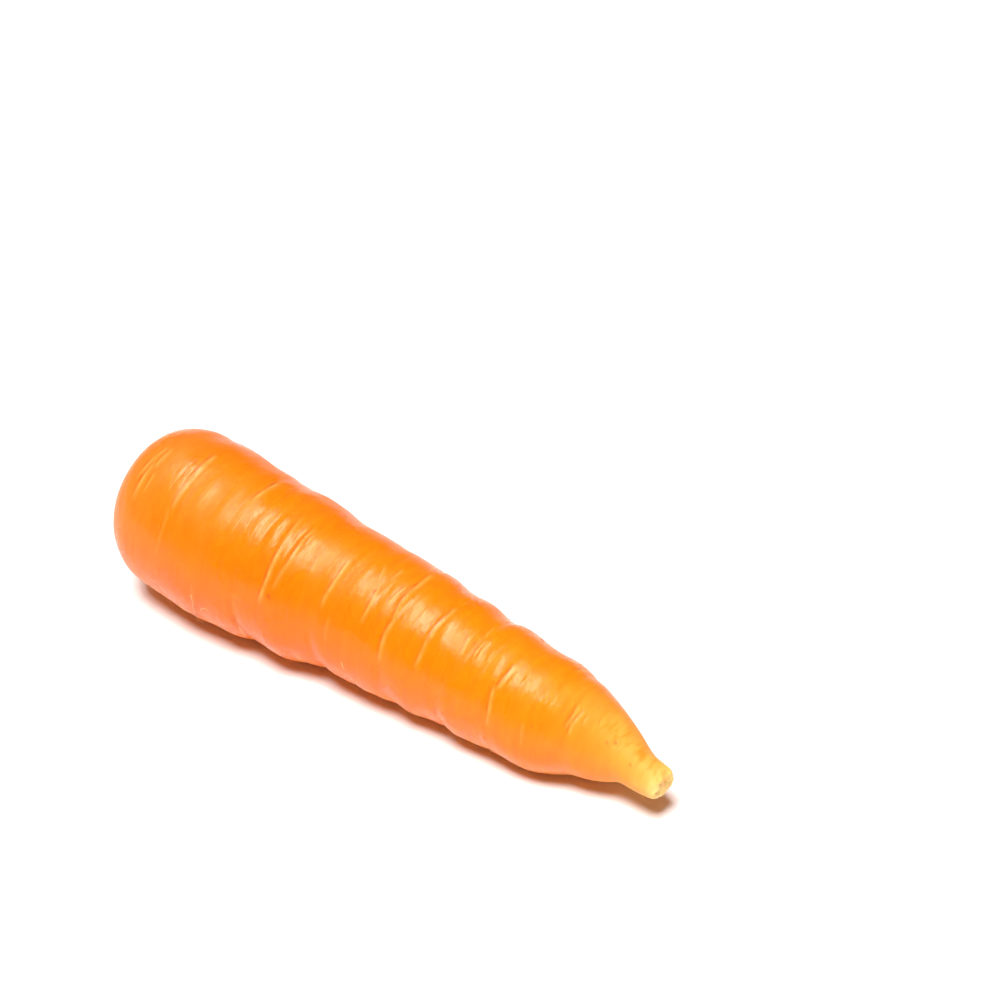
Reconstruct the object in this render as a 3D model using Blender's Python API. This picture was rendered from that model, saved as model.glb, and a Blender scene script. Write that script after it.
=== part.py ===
"""A trimmed carrot, lying on its side: one grown root and the cut leaf stalks in its crown.

The root runs along +X from the crown to the tip. Z is up, and the root rests on Z = 0.
A station is a distance from the crown. Angles round the root start at +Y, go over the top at
90 degrees and reach the underside at 270. The sizes below are in millimetres.
"""

import math
import random

import bmesh
import bpy
import numpy as np

MM = 0.001

# The root's main sizes.
ROOT_LENGTH = 165.0
SHOULDER_RADIUS = 22.6
SHOULDER_STATION = 17.0
TIP_RADIUS = 4.2

# The crown end: a flat hollow where the leaves grew, a round rim, and a domed shoulder.
HOLLOW_FLOOR_RADIUS = 5.8
HOLLOW_DEPTH = 3.4
RIM_RADIUS = 11.0
DOME_POWER = 2.35
HOLLOW_ROW_RADII = (3.0, HOLLOW_FLOOR_RADIUS, 6.8, 7.8, 8.9)
# Where the dome's rows lie, as shares of the way from the rim's radius to the shoulder's.
DOME_ROW_SHARES = (0, 0.18, 0.36, 0.53, 0.68, 0.8, 0.89, 0.955)

# Radius of the body past the shoulder, as (station from the crown, radius).
BODY_RADII = (
    (SHOULDER_STATION, SHOULDER_RADIUS), (26, 22.3), (40, 21.3), (53, 20.6), (66, 18.8),
    (79, 18.1), (92, 17.2), (105, 16.2), (118, 15.4), (129, 14.7), (136, 13.1), (143, 10.5),
    (152, 7.2), (160, 4.9), (ROOT_LENGTH, TIP_RADIUS),
)
# The snapped tip: how far its edge is rounded, and how far and where its face leans.
TIP_EDGE = 1.6
TIP_EDGE_TURNS = (45, 80)
TIP_LEAN = 0.2
TIP_LEAN_ANGLE = 40
TIP_LEAN_LENGTH = 3.0

# The root's centre line, as (station, offset to the side), and its height over the table.
SIDE_BEND = ((0, 0.0), (33, -0.4), (66, 1.6), (99, 2.4), (132, 2.9), (148, 3.5), (165, 1.6))
CROWN_HEIGHT = 24.1
TIP_HEIGHT = 11.8
# The underside is flat where it would reach below the table by up to this much.
MOST_FLATTENING = 0.7

# Swellings and dents of the outline: station, angle, half length, half arc in degrees, height.
SWELLINGS = (
    (39, 212, 5, 35, 0.3), (46.5, 212, 3, 30, -0.45), (56, 212, 5, 38, 0.3), (69, 212, 3.2, 30, -0.8),
    (80, 210, 4, 35, 0.2), (91.5, 212, 3, 30, -0.9), (106.5, 210, 2.6, 30, -0.35),
    (113, 212, 4, 35, 0.3), (122.5, 212, 3, 30, -0.6), (131, 210, 4, 40, 0.4),
    (140, 212, 3.4, 34, -0.6), (153, 212, 3.4, 38, -0.6), (161, 210, 3, 60, 0.2),
    (15, 48, 4, 40, -0.9), (27, 48, 6, 35, 0.2), (51, 50, 3, 38, -0.4), (60, 48, 5, 35, -0.1),
    (70, 48, 4, 35, 0.2), (75.5, 50, 2.4, 38, -0.25), (79, 50, 2.2, 38, 0.25), (90.5, 50, 5, 38, 0.8),
    (108, 50, 3, 38, -0.7), (126, 50, 5, 35, -0.1), (146, 48, 6, 45, 0.5), (157, 48, 4, 45, -0.6),
)
# Growth creases on the side and top: station, middle angle, half arc in degrees, depth.
CREASES = (
    (23, 112, 42, 0.2), (25.8, 106, 30, 0.22), (32.6, 110, 34, 0.25), (38, 75, 45, 0.2),
    (46.5, 200, 40, 0.3), (48.4, 108, 32, 0.25), (54.3, 126, 52, 0.28), (57.6, 124, 42, 0.22),
    (59.4, 106, 30, 0.15), (68.5, 206, 42, 0.35), (72.6, 114, 36, 0.32), (74.6, 104, 26, 0.2),
    (79, 66, 46, 0.25), (83.1, 104, 24, 0.2), (89.5, 128, 70, 0.3), (91.0, 100, 24, 0.18),
    (99.8, 116, 46, 0.25), (106.2, 204, 42, 0.3), (110.8, 85, 50, 0.3), (116.2, 106, 34, 0.3),
    (119, 212, 36, 0.25), (122, 138, 48, 0.28), (140.5, 150, 70, 0.22), (152.5, 200, 50, 0.2),
)
CREASE_WIDTH = 1.25
LIP_OFFSET = 3.0
LIP_WIDTH = 1.8
LIP_SHARE = 0.35
# Creases on the far side and underneath follow a rule with a seeded draw.
FAR_CREASE_SEED = 12
FAR_CREASE_MARGINS = (4.0, 18.0)
FAR_CREASE_SPACING = 9.5
FAR_CREASE_JITTER = (0.7, 1.3)
FAR_ANGLES = (250, 385)
FAR_HALF_ARCS = (30, 55)
FAR_DEPTHS = (0.15, 0.35)

# Slow waves of the whole surface.
WAVE_SEED = 4
WAVE_COUNT = 6
WAVE_HEIGHT = 0.13
WAVE_LENGTHS = (11, 34)
WAVE_LOBES = (1, 2, 3)
# Relief starts this far from the crown, and rises and falls over these lengths.
CROWN_CLEAR = 5.0
CROWN_FADE = 9.0
TIP_FADE = 6.0

# How finely the root is divided.
SIDES = 54
ROW_SPACING = 2.2
DOME_ROWS_END = 14.0
# An even row nearer to a crease's row than this share of the spacing is left out.
ROW_CLEARANCE = 0.45

# The cut leaf stalks, in the hollow of the crown.
STALK_SEED = 7
STALK_COUNT = 12
STALK_DISC_RADIUS = 5.2
STALK_DISC_TOP = 2.2
STALK_DISC_SIDES = 28
STALK_DISC_FLARE = 0.94
STALK_GAP = 0.3
STALK_SPREAD = 4.1
STALK_SPREAD_POWER = 0.6
STALK_THICKNESS = 1.5
STALK_THINNING = 0.4
STALK_FLARE = 1.06
STALK_ARC_POINTS = 7
HEART_SIDES = 8
STALK_TOPS = (-0.9, 1.3)
STALK_SPAN = (62, 96)
# Each stalk starts inside the disc, at a depth of its own so that no two end faces coincide.
STALK_ROOTING = 0.25
STALK_ROOTING_STEP = 0.03
GOLDEN_ANGLE = 137.508

SKIN_COLOUR = (0.93, 0.29, 0.02)
SKIN_ROUGHNESS = 0.38
STALK_COLOUR = (0.38, 0.36, 0.13)
STALK_ROUGHNESS = 0.7

# The middle of the finished carrot's box, which becomes the origin.
MIDDLE_STATION = 82.385
MIDDLE_SIDE = -0.22


def clear_scene():
    for obj in list(bpy.data.objects):
        bpy.data.objects.remove(obj)


def smooth_between(points, x):
    """A smooth curve through the points that makes no bumps of its own between them."""
    px = np.array([p[0] for p in points], float)
    py = np.array([p[1] for p in points], float)
    slopes = np.diff(py) / np.diff(px)
    tangents = np.zeros(len(px))
    tangents[0], tangents[-1] = slopes[0], slopes[-1]
    same_way = slopes[:-1] * slopes[1:] > 0
    means = 2 * slopes[:-1] * slopes[1:] / np.where(same_way, slopes[:-1] + slopes[1:], 1)
    tangents[1:-1] = np.where(same_way, means, 0)
    i = np.clip(np.searchsorted(px, x) - 1, 0, len(px) - 2)
    width = px[i + 1] - px[i]
    t = (x - px[i]) / width
    start = (1 + 2 * t) * (1 - t) ** 2 * py[i] + t * (1 - t) ** 2 * width * tangents[i]
    end = t * t * (3 - 2 * t) * py[i + 1] + t * t * (t - 1) * width * tangents[i + 1]
    return start + end


def angle_apart(a, b):
    """The signed difference of two angles in degrees, from -180 to 180."""
    return (a - b + 180) % 360 - 180


def far_creases():
    """Creases for the far side and the underside, at nearly even spaces along the root."""
    draw = random.Random(FAR_CREASE_SEED)
    creases = []
    station = SHOULDER_STATION + FAR_CREASE_MARGINS[0]
    while station < ROOT_LENGTH - FAR_CREASE_MARGINS[1]:
        middle = draw.uniform(*FAR_ANGLES)
        creases.append((station, middle, draw.uniform(*FAR_HALF_ARCS), draw.uniform(*FAR_DEPTHS)))
        station += FAR_CREASE_SPACING * draw.uniform(*FAR_CREASE_JITTER)
    return creases


def swelling_relief(x, angle):
    relief = np.zeros_like(x)
    for station, middle, half_length, half_arc, height in SWELLINGS:
        along = (x - station) / half_length
        around = angle_apart(angle, middle) / half_arc
        relief += height * np.exp(-along**2 - around**2)
    return relief


def crease_relief(x, angle):
    """Each crease is a narrow groove that fades at its ends, with a low swelling on both sides."""
    relief = np.zeros_like(x)
    for station, middle, half_arc, depth in (*CREASES, *far_creases()):
        off = np.abs(x - station)
        fade = np.exp(-(np.abs(angle_apart(angle, middle) / half_arc) ** 3))
        groove = np.exp(-((off / CREASE_WIDTH) ** 2))
        lips = LIP_SHARE * np.exp(-(((off - LIP_OFFSET) / LIP_WIDTH) ** 2))
        relief += depth * fade * (lips - groove)
    return relief


def wave_relief(x, angle):
    draw = random.Random(WAVE_SEED)
    relief = np.zeros_like(x)
    turn = np.radians(angle)
    for _ in range(WAVE_COUNT):
        length = draw.uniform(*WAVE_LENGTHS)
        lobes = draw.choice(WAVE_LOBES)
        along = 2 * math.pi * x / length + draw.uniform(0, 2 * math.pi)
        relief += WAVE_HEIGHT * np.sin(along) * np.cos(lobes * turn + draw.uniform(0, 2 * math.pi))
    return relief


def relief_at(x, angle):
    """How far the skin stands out of the plain turned shape. It fades out at the crown and tip."""
    crown_fade = np.clip((x - CROWN_CLEAR) / CROWN_FADE, 0, 1)
    tip_fade = np.clip((ROOT_LENGTH - x) / TIP_FADE, 0, 1)
    relief = swelling_relief(x, angle) + crease_relief(x, angle) + wave_relief(x, angle)
    return relief * crown_fade * tip_fade


def dome_station(radius):
    """Station of the shoulder's dome where it has this radius."""
    share = (radius - RIM_RADIUS) / (SHOULDER_RADIUS - RIM_RADIUS)
    return SHOULDER_STATION * (1 - (1 - share**DOME_POWER) ** (1 / DOME_POWER))


def hollow_station(radius):
    """Station of the crown's hollow at this radius, from its flat floor up to the rim."""
    share = (radius - HOLLOW_FLOOR_RADIUS) / (RIM_RADIUS - HOLLOW_FLOOR_RADIUS)
    share = min(max(share, 0), 1)
    return HOLLOW_DEPTH * (0.5 + 0.5 * math.cos(math.pi * share))


def root_rows():
    """(station, radius) of each ring of the root, from the hollow over the shoulder to the tip."""
    rows = [(hollow_station(r), r) for r in HOLLOW_ROW_RADII]
    for share in DOME_ROW_SHARES:
        radius = RIM_RADIUS + share * (SHOULDER_RADIUS - RIM_RADIUS)
        rows.append((dome_station(radius), radius))
    body_end = ROOT_LENGTH - TIP_EDGE
    count = round((body_end - DOME_ROWS_END) / ROW_SPACING)
    even = np.linspace(DOME_ROWS_END, body_end, count)
    folds = np.array([crease[0] for crease in CREASES])
    clear = [s for s in even if np.abs(folds - s).min() > ROW_CLEARANCE * ROW_SPACING or s == body_end]
    for station in sorted([*clear, *folds]):
        if station < SHOULDER_STATION:
            share = 1 - (1 - station / SHOULDER_STATION) ** DOME_POWER
            radius = RIM_RADIUS + (SHOULDER_RADIUS - RIM_RADIUS) * share ** (1 / DOME_POWER)
        else:
            radius = float(smooth_between(BODY_RADII, np.array([station]))[0])
        rows.append((float(station), radius))
    edge_radius = rows[-1][1]
    for turn in TIP_EDGE_TURNS:
        drop = TIP_EDGE * (1 - math.cos(math.radians(turn)))
        rows.append((body_end + TIP_EDGE * math.sin(math.radians(turn)), edge_radius - drop))
    return rows


def on_root(x, radius, angle):
    """Points of the root's skin in millimetres, for arrays of station, plain radius and angle."""
    turn = np.radians(angle)
    full = radius + relief_at(x, angle)
    side = smooth_between(SIDE_BEND, x)
    height = CROWN_HEIGHT + (TIP_HEIGHT - CROWN_HEIGHT) * x / ROOT_LENGTH
    lean = TIP_LEAN * full * np.cos(turn - math.radians(TIP_LEAN_ANGLE))
    lean = lean * np.clip((x - ROOT_LENGTH + TIP_LEAN_LENGTH) / TIP_LEAN_LENGTH, 0, 1)
    y = side + full * np.cos(turn)
    z = height + full * np.sin(turn)
    if z.min() < -MOST_FLATTENING:
        raise ValueError(f"the underside reaches {z.min():.2f} mm, too far below the table")
    return np.stack([x + lean, y, np.maximum(z, 0)], axis=-1)


def make_taproot():
    rows = root_rows()
    angles = np.arange(SIDES) * 360 / SIDES
    x = np.repeat([[r[0]] for r in rows], SIDES, axis=1)
    radius = np.repeat([[r[1]] for r in rows], SIDES, axis=1)
    points = on_root(x, radius, np.repeat([angles], len(rows), axis=0))
    mesh = bmesh.new()
    rings = [[mesh.verts.new(p * MM) for p in ring] for ring in points]
    for ring, next_ring in zip(rings, rings[1:]):
        for i in range(SIDES):
            j = (i + 1) % SIDES
            mesh.faces.new((ring[i], ring[j], next_ring[j], next_ring[i]))
    floor_centre = mesh.verts.new(points[0].mean(axis=0) * MM)
    tip_centre = mesh.verts.new(points[-1].mean(axis=0) * MM)
    for i in range(SIDES):
        j = (i + 1) % SIDES
        mesh.faces.new((floor_centre, rings[0][j], rings[0][i]))
        mesh.faces.new((tip_centre, rings[-1][i], rings[-1][j]))
    return finish_object("taproot", mesh)


def stalk_outline(spread, middle, span, thickness):
    """A crescent round the crown's centre, as (side, height) points, or a round shoot at its heart."""
    if spread < thickness:
        turns = np.radians(np.arange(HEART_SIDES) * 360 / HEART_SIDES)
        centre = np.array([math.cos(math.radians(middle)), math.sin(math.radians(middle))]) * spread
        return [tuple(centre + 0.5 * thickness * np.array([math.cos(t), math.sin(t)])) for t in turns]
    outer = np.radians(np.linspace(middle - span / 2, middle + span / 2, STALK_ARC_POINTS))
    inner = outer[1:-1][::-1]
    outer_radius, inner_radius = spread + thickness / 2, spread - thickness / 2
    points = [(outer_radius * math.cos(t), outer_radius * math.sin(t)) for t in outer]
    return points + [(inner_radius * math.cos(t), inner_radius * math.sin(t)) for t in inner]


def prism(outline, foot, top, flare):
    """A closed piece from the foot's station out to the top's, a little wider at its cut top."""
    mesh = bmesh.new()
    height = CROWN_HEIGHT
    foot_ring = [mesh.verts.new((foot * MM, y * MM, (height + z) * MM)) for y, z in outline]
    top_ring = [
        mesh.verts.new((top * MM, y * flare * MM, (height + z * flare) * MM)) for y, z in outline
    ]
    mesh.faces.new(foot_ring)
    mesh.faces.new(top_ring[::-1])
    for i in range(len(outline)):
        j = (i + 1) % len(outline)
        mesh.faces.new((foot_ring[j], foot_ring[i], top_ring[i], top_ring[j]))
    return mesh


def make_stalk_stubs():
    """Leaf stalks cut off short, set round the crown's heart at the golden angle as leaves grow."""
    draw = random.Random(STALK_SEED)
    turns = np.radians(np.arange(STALK_DISC_SIDES) * 360 / STALK_DISC_SIDES)
    disc = [(STALK_DISC_RADIUS * math.cos(t), STALK_DISC_RADIUS * math.sin(t)) for t in turns]
    foot = HOLLOW_DEPTH - STALK_GAP
    stubs = finish_object("leaf_stalk_stubs", prism(disc, foot, STALK_DISC_TOP, STALK_DISC_FLARE))
    loose = bpy.data.collections.new("stalks to join")
    bpy.context.scene.collection.children.link(loose)
    for i in range(STALK_COUNT):
        share = i / (STALK_COUNT - 1)
        spread = STALK_SPREAD * (1 - share) ** STALK_SPREAD_POWER
        span = STALK_SPAN[0] + (STALK_SPAN[1] - STALK_SPAN[0]) * share
        thickness = STALK_THICKNESS - STALK_THINNING * share
        outline = stalk_outline(spread, i * GOLDEN_ANGLE, span, thickness)
        start = foot - STALK_ROOTING - STALK_ROOTING_STEP * i
        top = draw.uniform(*STALK_TOPS)
        stalk = finish_object(f"stalk_{i}", prism(outline, start, top, STALK_FLARE))
        bpy.context.scene.collection.objects.unlink(stalk)
        loose.objects.link(stalk)
    join = stubs.modifiers.new("Join stalks", "BOOLEAN")
    join.operation = "UNION"
    join.operand_type = "COLLECTION"
    join.collection = loose
    join.solver = "EXACT"
    bpy.context.view_layer.update()
    graph = bpy.context.evaluated_depsgraph_get()
    joined = bpy.data.meshes.new_from_object(stubs.evaluated_get(graph))
    stubs.modifiers.clear()
    stubs.data = joined
    for stalk in list(loose.objects):
        bpy.data.objects.remove(stalk)
    bpy.data.collections.remove(loose)
    return stubs


def finish_object(name, mesh):
    data = bpy.data.meshes.new(name)
    mesh.to_mesh(data)
    mesh.free()
    obj = bpy.data.objects.new(name, data)
    bpy.context.scene.collection.objects.link(obj)
    obj.location = (-MIDDLE_STATION * MM, -MIDDLE_SIDE * MM, 0)
    return obj


def colour(obj, name, base, roughness):
    material = bpy.data.materials.new(name)
    material.use_nodes = True
    shader = material.node_tree.nodes["Principled BSDF"]
    shader.inputs["Base Color"].default_value = (*base, 1)
    shader.inputs["Roughness"].default_value = roughness
    shader.inputs["Metallic"].default_value = 0
    obj.data.materials.clear()
    obj.data.materials.append(material)


def build():
    clear_scene()
    taproot = make_taproot()
    taproot.data.shade_smooth()
    colour(taproot, "carrot skin", SKIN_COLOUR, SKIN_ROUGHNESS)
    stubs = make_stalk_stubs()
    colour(stubs, "cut stalk", STALK_COLOUR, STALK_ROUGHNESS)


build()
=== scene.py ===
# %% [markdown]
# # A trimmed carrot on a white table
#
# This lesson dresses a plain solid carrot. The solid gives the size, the place and the rough form.
# Here it gets a fine skin with creases and pale lines, cut leaf stalks, a few dry rootlets,
# materials that are worked out by nodes, and the light of a white studio.
#
# Lengths are in millimetres until a mesh is made, because a carrot is easier to think about that
# way. Blender itself works in metres.

# %% Load the solid model as a fixed frame
import math
import random

import bpy
import numpy as np
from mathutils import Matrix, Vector


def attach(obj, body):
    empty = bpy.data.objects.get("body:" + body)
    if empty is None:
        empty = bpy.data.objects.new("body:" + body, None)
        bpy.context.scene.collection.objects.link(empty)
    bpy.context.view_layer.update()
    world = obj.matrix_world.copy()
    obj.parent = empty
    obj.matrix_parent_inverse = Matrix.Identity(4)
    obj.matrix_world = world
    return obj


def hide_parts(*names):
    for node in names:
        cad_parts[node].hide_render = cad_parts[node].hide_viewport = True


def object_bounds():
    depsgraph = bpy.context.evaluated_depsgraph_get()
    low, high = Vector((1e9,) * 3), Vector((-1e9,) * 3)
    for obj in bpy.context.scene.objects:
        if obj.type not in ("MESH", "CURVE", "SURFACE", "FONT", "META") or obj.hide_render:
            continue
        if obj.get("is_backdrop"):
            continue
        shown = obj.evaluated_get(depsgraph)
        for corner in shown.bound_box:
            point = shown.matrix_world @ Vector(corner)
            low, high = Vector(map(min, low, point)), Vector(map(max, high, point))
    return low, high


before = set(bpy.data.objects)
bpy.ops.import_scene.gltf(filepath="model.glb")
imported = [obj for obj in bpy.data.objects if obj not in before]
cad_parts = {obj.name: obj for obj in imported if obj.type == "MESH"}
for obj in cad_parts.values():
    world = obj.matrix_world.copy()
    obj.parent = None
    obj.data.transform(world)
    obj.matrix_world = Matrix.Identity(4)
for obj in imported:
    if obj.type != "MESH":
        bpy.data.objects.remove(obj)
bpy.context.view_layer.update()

MM = 0.001

# %% [markdown]
# ## Where things are on a carrot
#
# A carrot is a turned shape that has gone a little wrong, so two numbers say where a mark is:
# its station, which is the distance from the crown, and its angle round the root. The angle is
# 0 at +Y, 90 on top, 180 at -Y and 270 underneath. The values below are the solid's own, so
# that the fine skin lies exactly where the solid's surface is.

# %% The root's own sizes
ROOT_LENGTH = 165.0
SHOULDER_RADIUS = 22.6
SHOULDER_STATION = 17.0
TIP_RADIUS = 4.2
HOLLOW_FLOOR_RADIUS = 5.8
HOLLOW_DEPTH = 3.4
RIM_RADIUS = 11.0
DOME_POWER = 2.35
BODY_RADII = (
    (SHOULDER_STATION, SHOULDER_RADIUS), (26, 22.3), (40, 21.3), (53, 20.6), (66, 18.8),
    (79, 18.1), (92, 17.2), (105, 16.2), (118, 15.4), (129, 14.7), (136, 13.1), (143, 10.5),
    (152, 7.2), (160, 4.9), (ROOT_LENGTH, TIP_RADIUS),
)
TIP_EDGE = 1.6
TIP_EDGE_TURN = 80
TIP_LEAN = 0.2
TIP_LEAN_ANGLE = 40
TIP_LEAN_LENGTH = 3
SIDE_BEND = ((0, 0.0), (33, -0.4), (66, 1.6), (99, 2.4), (132, 2.9), (148, 3.5), (165, 1.6))
CROWN_HEIGHT = 24.1
TIP_HEIGHT = 11.8
MIDDLE = np.array([82.385, -0.22, 0.0])
print("the root is", ROOT_LENGTH, "mm long and", 2 * SHOULDER_RADIUS, "mm across its shoulder")

# %% [markdown]
# ## Creases and swellings
#
# A carrot grows in stops and starts, and the soil presses on it. That leaves shallow creases
# part of the way round, with low swellings beside them. They could be sculpted by hand, but a
# short record of each can be read, changed and used again at any fineness. A swelling's record
# is: station, angle, half its length, half its arc, and its height. A crease's record is:
# station, angle, half its arc, and its depth.

# %% The records of the creases and swellings
SWELLINGS = (
    (39, 212, 5, 35, 0.3), (46.5, 212, 3, 30, -0.45), (56, 212, 5, 38, 0.3),
    (69, 212, 3.2, 30, -0.8), (80, 210, 4, 35, 0.2), (91.5, 212, 3, 30, -0.9),
    (106.5, 210, 2.6, 30, -0.35), (113, 212, 4, 35, 0.3), (122.5, 212, 3, 30, -0.6),
    (131, 210, 4, 40, 0.4), (140, 212, 3.4, 34, -0.6), (153, 212, 3.4, 38, -0.6),
    (161, 210, 3, 60, 0.2), (15, 48, 4, 40, -0.9), (27, 48, 6, 35, 0.2), (51, 50, 3, 38, -0.4),
    (60, 48, 5, 35, -0.1), (70, 48, 4, 35, 0.2), (75.5, 50, 2.4, 38, -0.25),
    (79, 50, 2.2, 38, 0.25), (90.5, 50, 5, 38, 0.8), (108, 50, 3, 38, -0.7),
    (126, 50, 5, 35, -0.1), (146, 48, 6, 45, 0.5), (157, 48, 4, 45, -0.6),
)
CREASES = (
    (23, 112, 42, 0.2), (25.8, 106, 30, 0.22), (32.6, 110, 34, 0.25), (38, 75, 45, 0.2),
    (46.5, 200, 40, 0.3), (48.4, 108, 32, 0.25), (54.3, 126, 52, 0.28), (57.6, 124, 42, 0.22),
    (59.4, 106, 30, 0.15), (68.5, 206, 42, 0.35), (72.6, 114, 36, 0.32), (74.6, 104, 26, 0.2),
    (79, 66, 46, 0.25), (83.1, 104, 24, 0.2), (89.5, 128, 70, 0.3), (91.0, 100, 24, 0.18),
    (99.8, 116, 46, 0.25), (106.2, 204, 42, 0.3), (110.8, 85, 50, 0.3), (116.2, 106, 34, 0.3),
    (119, 212, 36, 0.25), (122, 138, 48, 0.28), (140.5, 150, 70, 0.22), (152.5, 200, 50, 0.2),
)
FAR_CREASE_SEED = 12
FAR_CREASE_SPACING = 9.5
FAR_CREASE_MARGINS = (4, 18)
FAR_CREASE_JITTER = (0.7, 1.3)
FAR_ANGLES = (250, 385)
FAR_HALF_ARCS = (30, 55)
FAR_DEPTHS = (0.15, 0.35)


def far_creases():
    """Creases for the far side and the underside, at nearly even spaces along the root."""
    draw = random.Random(FAR_CREASE_SEED)
    creases = []
    station = SHOULDER_STATION + FAR_CREASE_MARGINS[0]
    while station < ROOT_LENGTH - FAR_CREASE_MARGINS[1]:
        middle = draw.uniform(*FAR_ANGLES)
        creases.append((station, middle, draw.uniform(*FAR_HALF_ARCS), draw.uniform(*FAR_DEPTHS)))
        station += FAR_CREASE_SPACING * draw.uniform(*FAR_CREASE_JITTER)
    return creases


ALL_CREASES = (*CREASES, *far_creases())
print(len(SWELLINGS), "swellings and dents,", len(ALL_CREASES), "creases")

# %% [markdown]
# ## From records to relief
#
# Relief is how far the skin stands out of the plain turned shape. Every record adds a soft bump
# or groove to it. A bell curve, exp(-t * t), makes a good bump, because it starts and ends
# without an edge.

# %% Relief of the swellings and creases
CREASE_WIDTH = 1.25
LIP_OFFSET = 3.0
LIP_WIDTH = 1.8
LIP_SHARE = 0.35


def angle_apart(a, b):
    """The signed difference of two angles in degrees, from -180 to 180."""
    return (a - b + 180) % 360 - 180


def soft_spot(x, angle, station, middle, half_length, half_arc):
    """1 in the spot's middle, fading away along the root and round it."""
    along = (x - station) / half_length
    around = angle_apart(angle, middle) / half_arc
    return np.exp(-along**2 - around**2)


def swelling_relief(x, angle):
    relief = np.zeros_like(x)
    for *spot, height in SWELLINGS:
        relief += height * soft_spot(x, angle, *spot)
    return relief


def crease_relief(x, angle):
    """Each crease is a narrow groove that fades at its ends, with a low swelling on both sides."""
    relief = np.zeros_like(x)
    for station, middle, half_arc, depth in ALL_CREASES:
        off = np.abs(x - station)
        fade = np.exp(-(np.abs(angle_apart(angle, middle) / half_arc) ** 3))
        groove = np.exp(-((off / CREASE_WIDTH) ** 2))
        lips = LIP_SHARE * np.exp(-(((off - LIP_OFFSET) / LIP_WIDTH) ** 2))
        relief += depth * fade * (lips - groove)
    return relief


print("a crease is", 2 * CREASE_WIDTH, "mm wide")

# %% Waves, and the whole relief
WAVE_SEED = 4
WAVE_COUNT = 6
WAVE_HEIGHT = 0.13
WAVE_LENGTHS = (11, 34)
WAVE_LOBES = (1, 2, 3)
CROWN_CLEAR = 5
CROWN_FADE = 9
TIP_FADE = 6


def wave_relief(x, angle):
    """A few long waves, so that no stretch of the root is quite straight or round."""
    draw = random.Random(WAVE_SEED)
    relief = np.zeros_like(x)
    turn = np.radians(angle)
    for _ in range(WAVE_COUNT):
        length = draw.uniform(*WAVE_LENGTHS)
        lobes = draw.choice(WAVE_LOBES)
        along = math.tau * x / length + draw.uniform(0, math.tau)
        relief += WAVE_HEIGHT * np.sin(along) * np.cos(lobes * turn + draw.uniform(0, math.tau))
    return relief


def broad_relief(x, angle):
    """The whole relief. It fades out at the crown and the tip."""
    crown_fade = np.clip((x - CROWN_CLEAR) / CROWN_FADE, 0, 1)
    tip_fade = np.clip((ROOT_LENGTH - x) / TIP_FADE, 0, 1)
    relief = swelling_relief(x, angle) + crease_relief(x, angle) + wave_relief(x, angle)
    return relief * (crown_fade * tip_fade)


top_line = np.arange(0, ROOT_LENGTH)
top_relief = broad_relief(top_line, np.full_like(top_line, 90))
print("relief on top from", round(top_relief.min(), 2), "to", round(top_relief.max(), 2), "mm")

# %% [markdown]
# ## The outline that is turned
#
# The outline starts in the middle of the crown's hollow, climbs over the rim, runs round the
# shoulder and down the body, and closes over the snapped tip. It is worked out densely first
# and then walked in equal steps, so that the mesh has even rows where the shape turns sharply.


# %% A smooth curve through a few points
def smooth_between(points, x):
    """A smooth curve through the points that makes no bumps of its own between them."""
    px = np.array([p[0] for p in points], float)
    py = np.array([p[1] for p in points], float)
    slopes = np.diff(py) / np.diff(px)
    tangents = np.zeros(len(px))
    tangents[0], tangents[-1] = slopes[0], slopes[-1]
    same_way = slopes[:-1] * slopes[1:] > 0
    means = 2 * slopes[:-1] * slopes[1:] / np.where(same_way, slopes[:-1] + slopes[1:], 1)
    tangents[1:-1] = np.where(same_way, means, 0)
    i = np.clip(np.searchsorted(px, x) - 1, 0, len(px) - 2)
    width = px[i + 1] - px[i]
    t = (x - px[i]) / width
    start = (1 + 2 * t) * (1 - t) ** 2 * py[i] + t * (1 - t) ** 2 * width * tangents[i]
    end = t * t * (3 - 2 * t) * py[i + 1] + t * t * (t - 1) * width * tangents[i + 1]
    return start + end


half_way = ROOT_LENGTH / 2
print("half way along, the radius is", round(smooth_between(BODY_RADII, half_way), 1), "mm")

# %% The crown end of the outline
HOLLOW_POINTS = 80
DOME_POINTS = 200
DOME_CROWDING = 0.8
FIRST_RADIUS = 0.2


def crown_outline():
    """Stations and radii from the middle of the hollow over the rim to the shoulder."""
    hollow_radii = np.linspace(FIRST_RADIUS, RIM_RADIUS, HOLLOW_POINTS)
    share = (hollow_radii - HOLLOW_FLOOR_RADIUS) / (RIM_RADIUS - HOLLOW_FLOOR_RADIUS)
    hollow_stations = HOLLOW_DEPTH * (0.5 + 0.5 * np.cos(np.pi * np.clip(share, 0, 1)))
    turn = np.linspace(0, 1, DOME_POINTS)[1:] * np.pi / 2
    dome_radii = RIM_RADIUS + (SHOULDER_RADIUS - RIM_RADIUS) * np.sin(turn) ** DOME_CROWDING
    share = (dome_radii - RIM_RADIUS) / (SHOULDER_RADIUS - RIM_RADIUS)
    dome_stations = SHOULDER_STATION * (1 - (1 - share**DOME_POWER) ** (1 / DOME_POWER))
    hollow = np.stack([hollow_stations, hollow_radii], axis=1)
    return np.concatenate([hollow, np.stack([dome_stations, dome_radii], axis=1)])


print("the crown's outline has", len(crown_outline()), "points")

# %% The rest of the outline
BODY_POINTS = 900
EDGE_POINTS = 12
FACE_POINTS = 20
LAST_RADIUS = 0.15


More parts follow.
